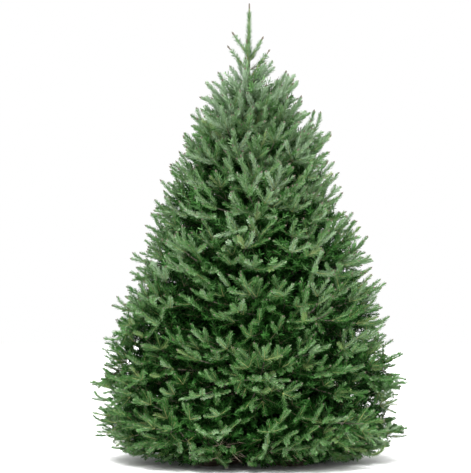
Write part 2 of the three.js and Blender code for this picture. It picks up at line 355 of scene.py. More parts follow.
def bough_of(mass):
    """The CAD limb that carries a mass, or None where the mass closes round the trunk."""
    name = mass.replace("foliage", "bough")
    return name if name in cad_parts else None


def node_points(name):
    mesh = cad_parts[name].data
    points = np.zeros(len(mesh.vertices) * 3, np.float32)
    mesh.vertices.foreach_get("co", points)
    return points.reshape(-1, 3).astype(float)


def ends_of(points, along):
    """The middles of a limb's two ends, from how far along it each of its points is."""
    near = points[along < np.quantile(along, END_SHARE)]
    far = points[along > np.quantile(along, 1 - END_SHARE)]
    return near.mean(axis=0), far.mean(axis=0)


def masses_as_tree():
    """All the masses as one surface to search, and the mass that each of its faces belongs to."""
    points, faces, owners = [], [], []
    count = 0
    for name in MASSES:
        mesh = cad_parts[name].data
        points.extend(v.co.copy() for v in mesh.vertices)
        faces.extend(tuple(i + count for i in polygon.vertices) for polygon in mesh.polygons)
        owners.extend([name] * len(mesh.polygons))
        count += len(mesh.vertices)
    return BVHTree.FromPolygons(points, faces), owners


def trunk_rings():
    """The middles and the radii of the trunk's rings of corners, from the floor up."""
    points = node_points("trunk")
    middles, radii = [], []
    for height in np.unique(np.round(points[:, 2], 2)):
        ring = points[np.abs(points[:, 2] - height) < RING_REACH]
        middles.append(ring.mean(axis=0))
        radii.append(np.linalg.norm(ring - ring.mean(axis=0), axis=1).mean())
    return np.array(middles), np.array(radii)


mass_tree, mass_owners = masses_as_tree()
trunk_middles, trunk_radii = trunk_rings()


def trunk_at(z):
    """The middle and the radius of the trunk at a height."""
    x, y = (np.interp(z, trunk_middles[:, 2], trunk_middles[:, axis]) for axis in (0, 1))
    return np.array([x, y, z]), float(np.interp(z, trunk_middles[:, 2], trunk_radii))


class Outline:
    """How far the crown reaches from its axis, by height and direction. The partings between the masses are
    closed over, and the top and the foot are drawn in to cones."""

    HEIGHT_STEP = 0.025
    TURNS = 72
    CLOSING = 6  # rows
    SMOOTHING = 4  # rows
    SMOOTHING_ROUNDS = 3
    PEAK = 1.94
    PEAK_SLOPE = 0.95
    FOOT_REACH = 0.47
    FOOT_SLOPE = 1.9
    LEANS = ([0.6, 0.9, 1.15, 1.4, 1.6], [0, 0.026, 0.004, 0.012, 0.018])  # over to the right, by height

    def __init__(self):
        self.low = min(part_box(name)[0].z for name in MASSES)
        self.high = max(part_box(name)[1].z for name in MASSES)
        rows = int((self.high - self.low) / self.HEIGHT_STEP)
        reach = np.array([[self.measured(i, j) for j in range(self.TURNS)] for i in range(rows)])
        closed = self.slid(self.slid(reach, self.CLOSING, np.max), self.CLOSING, np.min)
        beside = np.maximum(np.roll(closed, 1, axis=1), np.roll(closed, -1, axis=1))
        smooth = self.slid(np.maximum(closed, beside), self.SMOOTHING, np.mean)
        for _ in range(self.SMOOTHING_ROUNDS):
            smooth = (np.roll(smooth, 1, axis=1) + smooth * 2 + np.roll(smooth, -1, axis=1)) / 4
        self.reach = smooth

    def measured(self, row, column):
        """How far out the masses reach in the middle of a row, at the turn of a column."""
        z = self.low + (row + 0.5) * self.HEIGHT_STEP
        turn = 2 * math.pi * column / self.TURNS
        outside = Vector((2 * math.cos(turn), 2 * math.sin(turn), z))
        hit = mass_tree.ray_cast(outside, Vector((-math.cos(turn), -math.sin(turn), 0)))[0]
        return math.hypot(hit.x, hit.y) if hit else 0.0

    @staticmethod
    def slid(reach, rows, measure):
        """The measure of every row and those up to so many rows above and below it."""
        padded = np.pad(reach, ((rows, rows), (0, 0)), mode="edge")
        return measure([padded[i : i + len(reach)] for i in range(2 * rows + 1)], axis=0)

    def at(self, z, turn):
        row = (z - self.low) / self.HEIGHT_STEP - 0.5
        row = min(max(row, 0.0), len(self.reach) - 1)
        column = (turn / (2 * math.pi) * self.TURNS) % self.TURNS
        i, j = int(row), int(column)
        rows = (i, min(i + 1, len(self.reach) - 1))
        columns = (j, (j + 1) % self.TURNS)
        above, beside = row - i, column - j
        low = self.reach[rows[0], columns[0]] * (1 - beside) + self.reach[rows[0], columns[1]] * beside
        high = self.reach[rows[1], columns[0]] * (1 - beside) + self.reach[rows[1], columns[1]] * beside
        reach = low * (1 - above) + high * above
        reach = min(reach, (self.PEAK - z) / self.PEAK_SLOPE, self.FOOT_REACH + self.FOOT_SLOPE * z)
        return max(0.0, reach + math.cos(turn) * np.interp(z, *self.LEANS))


outline = Outline()


# ---- Where the branches end ---------------------------------------------------------------------------

TIP_TRIES = 12000
SPACINGS = ([0.03, 0.1, 0.25, 0.5, 1.4, 1.75], [0.058, 0.072, 0.096, 0.097, 0.100, 0.084])  # by height

# The sprays that hang to the floor inside the lowest of the outer ones.
SKIRT_SHARE = 0.76  # of the way out to the outline
SKIRT_SPACING = 0.8  # times the outer spacing
SKIRT_TOP = 0.06

# The tips inside the crown: their share of the way out to the outline, and times the outer spacing.
INNER_SHARES = [(0.9, 1.4), (0.74, 1.6), (0.52, 2.0)]

# How steeply the tips point up, by height, in degrees, and how much that and their turns vary.
STEEPNESSES = ([0.0, 0.12, 0.4, 0.9, 1.4, 1.8, 2.0], [0, 8, 28, 42, 50, 58, 66])
STEEPNESS_SPREAD = 15
TURN_SPREAD = 20


def scatter_tips(share, spacing_factor, top=math.inf):
    """Points spread evenly over the crown's outline, or over one inside it, no two close together."""
    tips = np.zeros((0, 3))
    high = min(outline.high, top)
    widest = outline.reach.max()
    for _ in range(int(TIP_TRIES * (high - outline.low) / (outline.high - outline.low))):
        z = rng.uniform(outline.low, high)
        turn = rng.uniform(0, 2 * math.pi)
        reach = outline.at(z, turn)
        if rng.uniform() > reach / widest:
            continue
        point = np.array([reach * share * math.cos(turn), reach * share * math.sin(turn), z])
        spacing = np.interp(z, *SPACINGS) * spacing_factor
        if len(tips) == 0 or np.linalg.norm(tips - point, axis=1).min() > spacing:
            tips = np.vstack([tips, point])
    return list(tips)


def tip_direction(point):
    turn = math.atan2(point[1], point[0]) + math.radians(rng.normal(0, TURN_SPREAD))
    steepness = math.radians(np.interp(point[2], *STEEPNESSES) + rng.normal(0, STEEPNESS_SPREAD))
    outward = np.array([math.cos(turn), math.sin(turn), 0])
    return outward * math.cos(steepness) + UP * math.sin(steepness)


# ---- The lines of boughs and branches -----------------------------------------------------------------

PATH_STEPS = 24
BOUGH_SAG = 0.025  # of the CAD limb's length
ASIDE_WEIGHT = 0.3  # of a tip's place aside of the bough, beside its height, when the bough's own is chosen
BOUGH_END_STEPS = 4  # at a bough's end, where no branch leaves it
BRANCH_ANGLE = 42  # between a bough and the branches that leave it

# How far branches from the trunk climb for each metre outwards, by the height of their tips.
CLIMBS = ([0.0, 0.4, 1.0, 1.5, 1.9], [-0.2, 0.05, 0.35, 0.65, 0.95])
FIRST_CLIMB = 0.6  # of that, at the trunk
LOWEST_ROOT = 0.2
ROOT_PLACE = 0.6  # of the trunk's radius


class Path:
    """A limb's line, read by how far along it, or how far back from its tip, a place is."""

    def __init__(self, points):
        self.points = points
        steps = np.linalg.norm(np.diff(points, axis=0), axis=1)
        self.along = np.concatenate([[0], np.cumsum(steps)])
        self.length = self.along[-1]

    def at(self, places):
        return np.stack([np.interp(places, self.along, self.points[:, axis]) for axis in range(3)], axis=-1)

    def back(self, distance):
        return self.at(self.length - distance)


def curve_points(start, start_direction, end, end_direction):
    """A smooth path between two points, with its direction given at both."""
    span = np.linalg.norm(end - start) / 3
    a, b = start + start_direction * span, end - end_direction * span
    t = np.linspace(0, 1, PATH_STEPS + 1)[:, None]
    return start * (1 - t) ** 3 + 3 * a * t * (1 - t) ** 2 + 3 * b * t**2 * (1 - t) + end * t**3


def bough_path(mass, tips):
    """The CAD limb's line, run on to whichever of the mass's tips is nearest its middle. Also the number of
    the point where it runs on, and that tip."""
    points = node_points(bough_of(mass))
    root, entry = ends_of(points, np.hypot(points[:, 0], points[:, 1]))
    low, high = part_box(mass)
    outward = unit(level(entry - root))
    reach = np.array([np.dot(tip, outward) for tip in tips])
    aside = np.array([np.linalg.norm(tip - outward * r) for tip, r in zip(tips, reach)])
    score = np.abs([tip[2] - (low.z + high.z) / 2 for tip in tips]) + ASIDE_WEIGHT * aside
    end = tips[int(np.argmin(score))]
    middle = (root + entry) / 2
    middle[2] -= BOUGH_SAG * np.linalg.norm(entry - root)
    limb = [a + (b - a) * t for a, b in ((root, middle), (middle, entry)) for t in (0, 0.5)]
    onward = curve_points(entry, unit(entry - middle), end, tip_direction(end))
    return Path(np.concatenate([limb, onward])), len(limb), end


def branch_from_bough(bough, entry_index, tip, direction):
    """A path to a tip from the place on the bough where it leaves at the usual angle."""
    places = bough.points[entry_index:-BOUGH_END_STEPS]
    onward = unit(np.gradient(bough.points, axis=0))[entry_index:-BOUGH_END_STEPS]
    towards = unit(tip - places)
    angles = np.degrees(np.arccos(np.clip((towards * onward).sum(axis=1), -1, 1)))
    best = int(np.argmin(np.abs(angles - BRANCH_ANGLE)))
    start_direction = unit(onward[best] + towards[best])
    return Path(curve_points(places[best], start_direction, tip, direction))


def branch_from_trunk(tip, direction):
    climb = np.interp(tip[2], *CLIMBS)
    middle, radius = trunk_at(max(tip[2] - math.hypot(tip[0], tip[1]) * climb, LOWEST_ROOT))
    outward = unit(level(tip))
    start = middle + outward * radius * ROOT_PLACE
    return Path(curve_points(start, unit(outward + UP * climb * FIRST_CLIMB), tip, direction))


# ---- Shoots -------------------------------------------------------------------------------------------

# A shoot is one year's growth. Its middle line is start + straight * s + bend * s * s for s from 0 to 1.
# normal is the upper side of its spray and age is in years. size scales its needles, girth is how far out
# from the middle line they start, and density is how closely they sit: 1 is usual, and a bare twig has 0.
FIELDS = "start straight bend normal age layer spray size girth density"
Shoot = namedtuple("Shoot", FIELDS, defaults=[1.0, 0.0012, 1.0])
shoots = []

LOWEST_END = 0.016  # of any shoot
MARGINS = (  # how far shoots may stand out of the outline, by height
    [0.0, 0.15, 1.25, 1.42, 1.6, 1.82],
    [0.0, 0.036, 0.036, 0.055, 0.06, 0.02],
)

# Along a branch. Years are counted back from its tip, and angles in degrees are a mean and a spread.
OLDEST_NEEDLES = 4  # years
YEAR_GROWTHS = ([0.2, 0.8, 1.6], [0.098, 0.112, 0.142])  # by the height of the tip
YEAR_SPREAD = (0.86, 1.12)
YEAR_LOSS = 0.05  # of the growth, for each year back
ROLLS = ([0.3, 1.2], [38, 26])  # how far sprays roll over to one side, by height, in degrees
BARE_ROOT = 0.03  # of a branch, too short for another year
FORK_ROOT = 0.01  # of a branch, too near its root for side shoots

# The shoots beside a branch, in its plane, some that stand out wider, and the odd one that rises from it.
# Their lengths are shares of the branch's growth that year.
SIDE_ANGLE = (46, 5)
SIDE_LENGTHS = (0.78, 0.95)
SIDE_ANGLE_FACTORS = ([1.3, 1.7], [1, 0.85])  # by height
WIDE_CHANCE = 0.25
WIDE_ANGLE = (72, 6)
WIDE_LENGTHS = (0.5, 0.75)
UPPER_CHANCE = 0.4
UPPER_ANGLE = (46, 6)
UPPER_LENGTHS = (0.6, 0.85)

# How side shoots grow on by themselves.
SHOOT_SPREAD = (0.85, 1.12)  # times the length
SHOOT_RISE = 0.10  # of the length
SHOOT_BEND = 0.04  # of the length, any way
FITTING_TRIES = 3
FITTING_FACTOR = 0.8
ONWARD_LENGTH = 0.92  # of the year before
FORKED_LENGTH = 0.78


def inside(point):
    if point[2] < LOWEST_END:
        return False
    reach = outline.at(point[2], math.atan2(point[1], point[0]))
    return math.hypot(point[0], point[1]) < reach + np.interp(point[2], *MARGINS)


def grow(start, direction, normal, length, years, age, layer, spray):
    """A side shoot, and in further years the shoots that grow on from its end."""
    length *= rng.uniform(*SHOOT_SPREAD)
    for _ in range(FITTING_TRIES):
        bend = (UP * SHOOT_RISE + rng.normal(0, SHOOT_BEND, 3)) * length
        straight = direction * length
        end = start + straight + bend
        if inside(end):
            break
        length *= FITTING_FACTOR
    else:
        return
    shoots.append(Shoot(start, straight, bend, normal, age + years - 1, layer, spray))
    if years > 1:
        onward = unit(straight + 2 * bend)
        grow(end, onward, normal, length * ONWARD_LENGTH, years - 1, age, layer, spray)
        for side in (-1, 1):
            forked = turned(onward, normal, side * rng.normal(*SIDE_ANGLE))
            grow(end, forked, normal, length * FORKED_LENGTH, years - 1, age, layer, spray)


def spray_normal(direction, height):
    """The upper side of a spray that grows in this direction, rolled over a little."""
    flat = np.cross(UP, direction)
    upright = np.linalg.norm(flat) <= 1e-3
    normal = np.array([0, -1.0, 0]) if upright else np.cross(direction, unit(flat))
    return unit(turned(normal, direction, rng.normal(0, np.interp(height, *ROLLS))))


def add_fan(start, direction, normal, growth, narrowing, years, age, layer, spray):
    """The side shoots where one year of a branch's growth starts. narrowing is a factor on their angles."""
    for side in (-1, 1):
        angle = side * rng.normal(*SIDE_ANGLE) * narrowing
        length = growth * rng.uniform(*SIDE_LENGTHS)
        grow(start, turned(direction, normal, angle), normal, length, years, age, layer, spray)
        if rng.uniform() < WIDE_CHANCE:
            angle = side * rng.normal(*WIDE_ANGLE)
            length = growth * rng.uniform(*WIDE_LENGTHS)
            grow(start, turned(direction, normal, angle), normal, length, 1, age, layer, spray)
    if rng.uniform() < UPPER_CHANCE:
        rising = turned(direction, unit(np.cross(direction, normal)), rng.normal(*UPPER_ANGLE))
        length = growth * rng.uniform(*UPPER_LENGTHS)
        grow(start, rising, normal, length, 1, age, layer, spray)


def clothe(path, layer, spray, hidden=0):
    """Shoots along a branch: one more year of growth, and a fan of side shoots, at each step back from its
    tip. hidden is how many years of needles the branch's end is behind those of the outside."""
    back = 0.0
    year = 0
    while year < OLDEST_NEEDLES and back < path.length - BARE_ROOT:
        growth = np.interp(path.points[-1][2], *YEAR_GROWTHS)
        growth *= rng.uniform(*YEAR_SPREAD) * (1 - YEAR_LOSS * year)
        root_back = min(back + growth, path.length)
        start, middle, end = path.back(root_back), path.back((back + root_back) / 2), path.back(back)
        bend = 2 * (end + start - 2 * middle)
        straight = end - start - bend
        direction = unit(straight)
        normal = spray_normal(direction, end[2])
        shoots.append(Shoot(start, straight, bend, normal, year + hidden, layer, spray))
        if root_back < path.length - FORK_ROOT:
            narrowing = np.interp(end[2], *SIDE_ANGLE_FACTORS)
            age = max(0, year - 1) + hidden
            add_fan(start, direction, normal, growth, narrowing, min(year + 1, 2), age, layer, spray)
        back = root_back
        year += 1


# ---- Growing the tree ---------------------------------------------------------------------------------

CARRIED_ABOVE = (-0.07, 0.11)  # each tip is looked up this much lower, so that a bough has those above it
OUTER_SPREAD = (-0.04, 0.025)  # how far outwards the outer tips are moved, at random
OUTER_SHIFTS = (  # and how much further, by height
    [0.2, 0.4, 0.6, 1.25, 1.42, 1.6, 1.75],
    [0, 0.015, 0, 0, 0.03, 0.04, 0.015],
)

LEADER_FOOT = 0.875  # of the tree's height
LEADER_BARE = 0.045  # of the leader, below its bud
LEADER_NEEDLE_SIZES = [0.82, 0.72, 0.62, 0.5]  # from its foot up
LEADER_DENSITY = 1.5
TOP_NEEDLE_SIZE = 0.72
TOP_NEEDLED = 0.95  # of a top shoot's length, the rest being bare below its bud
TOP_GIRTH = 0.003
TOP_BARE_GIRTH = 0.0038
NO_SPRAY = -1

# Low at the front many twigs have lost their needles.
HOLLOW_X = (-0.20, 0.26)
HOLLOW_Y = -0.25
HOLLOW_TOP = 0.14
HOLLOW_BARE = 0.42  # of the shoots there

boughs = {}  # the bough's line in each mass that has one
branches = {layer: [] for layer in LAYERS}


def tips_by_mass(tips):
    """Each mass's share of the tips. Branches climb, so a mass also has those a little above it."""
    shares = {mass: [] for mass in MASSES}
    for tip in tips:
        face = mass_tree.find_nearest(Vector(tip - UP * rng.uniform(*CARRIED_ABOVE)))[2]
        shares[mass_owners[face]].append(tip)
    return shares


def grow_branches():
    outer = tips_by_mass(scatter_tips(1.0, 1.0) + scatter_tips(SKIRT_SHARE, SKIRT_SPACING, SKIRT_TOP))
    inner = tips_by_mass([tip for share, factor in INNER_SHARES for tip in scatter_tips(share, factor)])
    spray = 0
    for mass in MASSES:
        tips = outer[mass]
        layer = layer_of(mass)
        if bough_of(mass) and tips:
            boughs[mass], entry_index, end = bough_path(mass, tips)
            clothe(boughs[mass], layer, spray)
            tips = [tip for tip in tips if tip is not end]
        for tip in tips:
            spray += 1
            shift = rng.uniform(*OUTER_SPREAD) + np.interp(tip[2], *OUTER_SHIFTS)
            tip = tip + unit(level(tip)) * shift
            direction = tip_direction(tip)
            if mass in boughs:
                path = branch_from_bough(boughs[mass], entry_index, tip, direction)
            else:
                path = branch_from_trunk(tip, direction)
            branches[layer].append(path)
            clothe(path, layer, spray)
        for tip in inner[mass]:
            spray += 1
            path = branch_from_trunk(tip, tip_direction(tip))
            branches[layer].append(path)
            clothe(path, layer, spray, hidden=1)


def add_top_shoot(start, straight, normal, size, girth, density=1.0):
    shoots.append(Shoot(start, straight, np.zeros(3), normal, 0, LAYERS[-1], NO_SPRAY, size, girth, density))


def grow_leader():
    """This year's upright shoot, in several lengths, and the shoots that stand round its foot."""
    heights = np.linspace(HEIGHT * LEADER_FOOT, HEIGHT - LEADER_BARE, len(LEADER_NEEDLE_SIZES) + 1)
    rings = [trunk_at(z) for z in heights]
    for (start, girth), (end, _), size in zip(rings, rings[1:], LEADER_NEEDLE_SIZES):
        add_top_shoot(start, end - start, np.array([0, 1.0, 0]), size, girth, LEADER_DENSITY)
    for name in TOP_SHOOTS:
        points = node_points(name)
        start, end = ends_of(points, points[:, 2])
        start = end - (end - start) * np.hypot(*end[:2]) / np.hypot(*(end - start)[:2])  # on in to the trunk
        normal = unit(np.cross(end - start, np.cross(UP, end - start)))
        needled = (end - start) * TOP_NEEDLED
        add_top_shoot(start, needled, normal, TOP_NEEDLE_SIZE, TOP_GIRTH)
        add_top_shoot(start + needled, end - start - needled, normal, 1.0, TOP_BARE_GIRTH, 0.0)


def thin_the_hollow():
    """Low at the front many twigs are bare, to the ends of their sprays."""
    for i, shoot in enumerate(shoots):
        x, y, z = shoot.start + shoot.straight / 2
        in_hollow = HOLLOW_X[0] < x < HOLLOW_X[1] and y < HOLLOW_Y and z < HOLLOW_TOP
        if in_hollow and rng.uniform() < HOLLOW_BARE:
            shoots[i] = shoot._replace(age=max(shoot.age, 1), density=0.0)


# ---- Needles ------------------------------------------------------------------------------------------

# Needles are flat, with four corners: two at the root, one at a shoulder and one at the tip.
NEEDLE_LENGTH = 0.0200
NEEDLE_WIDTH = 0.0036
LENGTH_SPREAD = (0.85, 1.12)
WIDTH_SPREAD = (0.85, 1.1)
ROOT_WIDTH = 0.7  # of the width
SHOULDER = 0.84  # of the length
TIP_WIDTH = 0.55  # of the width
NEEDLE_RISE = 0.08  # how much the way a needle points is turned up
NEEDLE_TWIST = 0.5  # at most either way, in radians
FLOOR_GAP = 0.001

# By a shoot's age in years. Old needles are fewer and broader, and stand for several.
NEEDLES_PER_METRE = np.array([860, 260, 140, 100])
AGED_WIDTHS = np.array([1.0, 1.8, 2.7, 3.4])
AGED_LENGTHS = np.array([1.0, 1.15, 1.3, 1.45])
OLDEST_AGE = len(NEEDLES_PER_METRE) - 1
# Shoots deep inside are made older, so their needles are fewer, broader and darker. The darkening also
# paints the shade inside the crown.
DEPTH_AGES = ([0.055, 0.09, 0.17, 0.27], [0.0, 1.0, 1.9, 3.0])  # the least age, by depth inside the outline

# Round a shoot, in radians.
GOLDEN_TURN = math.pi * (3 - math.sqrt(5))
ROUND_SPREAD = 0.2
MIDLINE = 0.16  # half of the bare strip along a shoot's upper side

# Between a needle and its shoot: in degrees by its place along this year's shoots, in radians on others.
NEEDLE_LEANS = ([0, 0.75, 1.0], [47, 39, 22])
LEAN_SPREAD = 4
OLD_LEAN = (math.radians(52), 0.12)
TOP_LEAN = (math.radians(50), 0.15)

NEEDLED_FROM = 0.03  # of a shoot's length
NEEDLED_SHARE = 0.93
TAPERS = ([0, 0.12, 0.86, 1.0], [0.75, 1.0, 1.0, 0.68])  # of the length, by the place along a shoot
UPPER_COUNTS = ([1.2, 1.7], [1.0, 1.4])  # times as many, by height in metres

# By a needle's height as a share of the tree's.
WRAPS = ([0.15, 0.7], [0.78, 0.97])  # how far round to a shoot's lower side needles sit
LEAN_FACTORS = ([0.6, 0.8], [1.0, 0.9])
LENGTH_FACTORS = ([0.1, 0.5, 0.8], [0.92, 1.0, 1.25])
OLD_WIDTH_FACTORS = ([0.7, 0.85], [1.0, 0.65])

# A tone is a place in the row of greens. The first three go by height as a share of the tree's.
# By height the tones paint light and shade: paler towards the top, where light from above falls, and darker
# towards the foot.
HEIGHT_PAINTED_LIGHT_TONES = ([0.1, 0.3, 0.4, 0.5, 0.6, 0.7, 0.85], [5.3, 5.1, 4.1, 3.9, 3.7, 2.9, 0.3])
# Old needles are darker green, and since deep shoots are made older, this darkening is partly painted shade.
YEAR_AND_PAINTED_SHADE_TONES = ([0.7, 0.85], [2.3, 3.2])  # darker for each of the first two years
# Painted highlight: needles at a shoot's edges are paler, as if their tips caught the light.
EDGE_PAINTED_HIGHLIGHT_TONES = ([0.55, 0.75], [1.5, 0.7])  # paler at a shoot's edges
# Painted shade: the deeper inside the outline, the darker.
DEPTH_PAINTED_SHADE_TONES = ([0.02, 0.2], [0, 3.7])  # darker, by depth inside the outline
TOP_TONE = 2.0  # darker on the leader and the shoots round it
SPRAY_TONES = 0.5  # how much tones vary from spray to spray
SHOOT_TONES = 0.75
NEEDLE_TONES = 0.95
YELLOW_CHANCE = 0.05  # of a shoot of this year
YELLOW_SHARE = 0.7  # of its needles
PALE_TONE = 2.5


def shoot_arrays(layer):
    """A layer's shoots, field by field, with where each one ends and how deep inside the outline that is."""
    chosen = [shoot for shoot in shoots if shoot.layer == layer]
    group = {name: np.array([getattr(shoot, name) for shoot in chosen]) for name in Shoot._fields}
    group["end"] = group["start"] + group["straight"] + group["bend"]
    reaches = [outline.at(z, math.atan2(y, x)) for x, y, z in group["end"]]
    group["depth"] = np.array(reaches) - np.hypot(group["end"][:, 0], group["end"][:, 1])
    least = np.interp(group["depth"], *DEPTH_AGES).astype(int)
    group["age"] = np.minimum(np.maximum(group["age"], least), OLDEST_AGE)
    return group


def needle_feet(group):
    """For every needle on a layer's shoots: its shoot, its number on it, and its place along it."""
    lengths = np.linalg.norm(group["straight"] + group["bend"], axis=1)
    counts = lengths * NEEDLES_PER_METRE[group["age"]] * group["density"]
    counts = (counts * np.interp(group["start"][:, 2], *UPPER_COUNTS)).astype(int)
    owner = np.repeat(np.arange(len(counts)), counts)
    number = np.arange(len(owner)) - np.repeat(np.cumsum(counts) - counts, counts)
    place = NEEDLED_FROM + NEEDLED_SHARE * (number + rng.uniform(0, 1, len(owner))) / counts[owner]
    return owner, number, place


def needle_spokes(normal, along, number, height):
    """How far round from its shoot's upper side each needle sits, and the way straight out there."""
    above = unit(normal - along * (normal * along).sum(axis=1, keepdims=True))
    beside = np.cross(along, above)
    turn = (number * GOLDEN_TURN + rng.normal(0, ROUND_SPREAD, len(number))) % (2 * math.pi) - math.pi
    turn = np.sign(turn) * (MIDLINE + np.abs(turn) * (1 - MIDLINE / math.pi)) * np.interp(height, *WRAPS)
    return turn, above * np.cos(turn)[:, None] + beside * np.sin(turn)[:, None]


def needle_leans(age, size, place, height):
    """The angle between each needle and its shoot."""
    lean = np.radians(np.interp(place, *NEEDLE_LEANS) + rng.normal(0, LEAN_SPREAD, len(place)))
    lean *= np.interp(height, *LEAN_FACTORS)
    lean = np.where(age == 0, lean, OLD_LEAN[0] + rng.normal(0, OLD_LEAN[1], len(place)))
    return np.where(size < 1, TOP_LEAN[0] + rng.normal(0, TOP_LEAN[1], len(place)), lean)


def needle_sizes(age, size, place, height):
    """Each needle's length and width."""
    length = NEEDLE_LENGTH * np.interp(place, *TAPERS)
    length *= rng.uniform(*LENGTH_SPREAD, len(place)) * np.interp(height, *LENGTH_FACTORS)
    length *= size * AGED_LENGTHS[age]
    width = NEEDLE_WIDTH * AGED_WIDTHS[age] * rng.uniform(*WIDTH_SPREAD, len(place))
    width *= np.where(age == 0, 1.0, np.interp(height, *OLD_WIDTH_FACTORS))
    return length, width


def needles_on(group):
    """For every needle on a layer's shoots: its corners, its shoot, its height as a share of the tree's, and
    how far round to the shoot's edge it sits."""
    owner, number, place = needle_feet(group)
    start, straight, bend, normal, age, size, girth = (
        group[key][owner] for key in ("start", "straight", "bend", "normal", "age", "size", "girth")
    )
    foot = start + straight * place[:, None] + bend * (place**2)[:, None]
    along = unit(straight + 2 * bend * place[:, None])
    height = foot[:, 2] / HEIGHT
    turn, spoke = needle_spokes(normal, along, number, height)
    lean = needle_leans(age, size, place, height)
    direction = unit(along * np.cos(lean)[:, None] + spoke * np.sin(lean)[:, None] + UP * NEEDLE_RISE)
    length, width = needle_sizes(age, size, place, height)
    flat = unit(np.cross(direction, spoke))
    face = np.cross(direction, flat)
    twist = rng.uniform(-NEEDLE_TWIST, NEEDLE_TWIST, len(owner))
    across = (flat * np.cos(twist)[:, None] + face * np.sin(twist)[:, None]) * (width / 2)[:, None]
    root = foot + spoke * girth[:, None]
    tip = root + direction * length[:, None]
    shoulder = root + direction * (length * SHOULDER)[:, None]
    left, right = root - across * ROOT_WIDTH, root + across * ROOT_WIDTH
    corners = np.stack([left, right, shoulder + across, tip - across * TIP_WIDTH], axis=1)
    corners[:, :, 2] = np.maximum(corners[:, :, 2], FLOOR_GAP)
    return corners, owner, height, np.abs(np.sin(turn))


def needle_tones(group, owner, height, sideways):
    """Each needle's place in the row of greens. High is paler and low darker as painted light from above, a
    shoot's edge is paler as painted highlight, and deep inside is darker as painted shade. New is pale and
    old dark, partly as the needles' own colour and partly as painted shade."""
    sprays, spray = np.unique(group["spray"], return_inverse=True)
    spray_shift = rng.normal(0, SPRAY_TONES, len(sprays))[spray]
    # shade is the top shoots' own duller green plus painted shade by depth inside the outline.
    shade = np.where(group["size"] < 1, TOP_TONE, 0.0) + np.interp(group["depth"], *DEPTH_PAINTED_SHADE_TONES)
    shoot_shift = rng.normal(0, SHOOT_TONES, len(shade)) + shade
    # Painted light from above: paler high up, darker low down.
    base = np.interp(height, *HEIGHT_PAINTED_LIGHT_TONES)
    # Darker for older needles: partly their own deeper green, partly painted shade inside the crown.
    base += np.minimum(group["age"][owner], 2) * np.interp(height, *YEAR_AND_PAINTED_SHADE_TONES)
    # Painted highlight at a shoot's edges.
    base -= sideways * np.interp(height, *EDGE_PAINTED_HIGHLIGHT_TONES)
    tone = base + (spray_shift + shoot_shift)[owner] + rng.normal(0, NEEDLE_TONES, len(owner))
    tone = np.clip(np.round(tone), 0, DEEPEST_GREEN)
    yellowed = (rng.uniform(size=len(shade)) < YELLOW_CHANCE) & (group["age"] == 0)
    # A yellowed needle takes the paler yellow where its tone is pale and the darker yellow where painted
    # light and shade make it dark.
    yellow = np.where(tone < PALE_TONE, *YELLOW_GREENS)
    return np.where(yellowed[owner] & (rng.uniform(size=len(owner)) < YELLOW_SHARE), yellow, tone)


def add_needles(groups, materials):
    for layer, group in groups.items():
        corners, owner, height, sideways = needles_on(group)
        tones = needle_tones(group, owner, height, sideways)
        age = group["age"][owner]
        for label, chosen in (("new", age == 0), ("old", age > 0)):
            points = corners[chosen].reshape(-1, 3)
            faces = np.arange(len(points)).reshape(-1, 4)
            piece = mesh_piece(f"{label}_needles_{layer}", points, [faces], materials, tones[chosen])
            keep(piece, layer_nodes(layer))


# ---- Twigs and buds -----------------------------------------------------------------------------------

TWIG_RADII = np.array([0.0016, 0.0019, 0.0024, 0.0028])  # at a shoot's root, by its age
TWIG_MIDDLE = 0.85  # of the root's radius
BUD_LENGTH = 0.0075
BUD_RADIUS = 0.0024
BUD_BELLY = 0.45  # of the length
BUD_SUNK = 0.001
BUD_SPREAD = (0.75, 1.2)
BUD_FACTORS = ([0.4, 1.5], [1.4, 2.1])  # by height
BARE_BUD = 2.6  # times the size, on the bare ends of the top shoots
SIDES = [(0, 1), (1, 2), (2, 0)]  # of a ring of three corners


def rings_about(middle, along, radius):
    """The three corners of a ring about each middle."""
    guide = np.where(np.abs(along[:, 2:]) < 0.9, UP, np.array([1.0, 0, 0]))
    across = unit(np.cross(guide, along))
    return middle[:, None] + spokes_between(across, np.cross(along, across), 3) * radius[:, None, None]


def repeated(pattern, copies, step):
    """The same triangles on every copy of a set of step points."""
    return (np.arange(copies)[:, None, None] * step + np.array(pattern)).reshape(-1, 3)


def cones(root, root_radius, middle, tip):
    """Three-sided twigs, bent at the middle where one is given."""
    along = unit(tip - root)
    rings = [rings_about(root, along, root_radius)]
    faces = [[0, 2, 1]]
    if middle is not None:
        rings.append(rings_about(middle, along, root_radius * TWIG_MIDDLE))
        faces += [[i, j, 3 + j] for i, j in SIDES] + [[i, 3 + j, 3 + i] for i, j in SIDES]
    last = 3 * len(rings)
    faces += [[last - 3 + i, last - 3 + j, last] for i, j in SIDES]
    points = np.concatenate(rings + [tip[:, None]], axis=1)
    return points.reshape(-1, 3), repeated(faces, len(root), last + 1)


def add_twigs(groups, materials):
    """This year's twigs follow the bend of their shoots; older ones, deep in the needles, are straight."""
    for layer, group in groups.items():
        age, start, end = group["age"], group["start"], group["end"]
        middle = start + group["straight"] / 2 + group["bend"] / 4
        radius = np.maximum(TWIG_RADII[age], group["girth"])
        bare = np.where(age == 0, LAST_YEARS_TWIG, BARE_TWIG)
        tone = np.where(group["density"] == 0, bare, np.minimum(age, OLD_TWIG))
        points, faces, tones, count = [], [], [], 0
        for chosen, middles in ((age == 0, middle[age == 0]), (age > 0, None)):
            corners, triangles = cones(start[chosen], radius[chosen], middles, end[chosen])
            points.append(corners)
            faces.append(triangles + count)
            tones.append(np.repeat(tone[chosen], len(triangles) // chosen.sum()))
            count += len(corners)
        piece = mesh_piece(f"twigs_{layer}", np.concatenate(points), faces, materials, np.concatenate(tones))
        keep(piece, layer_nodes(layer))


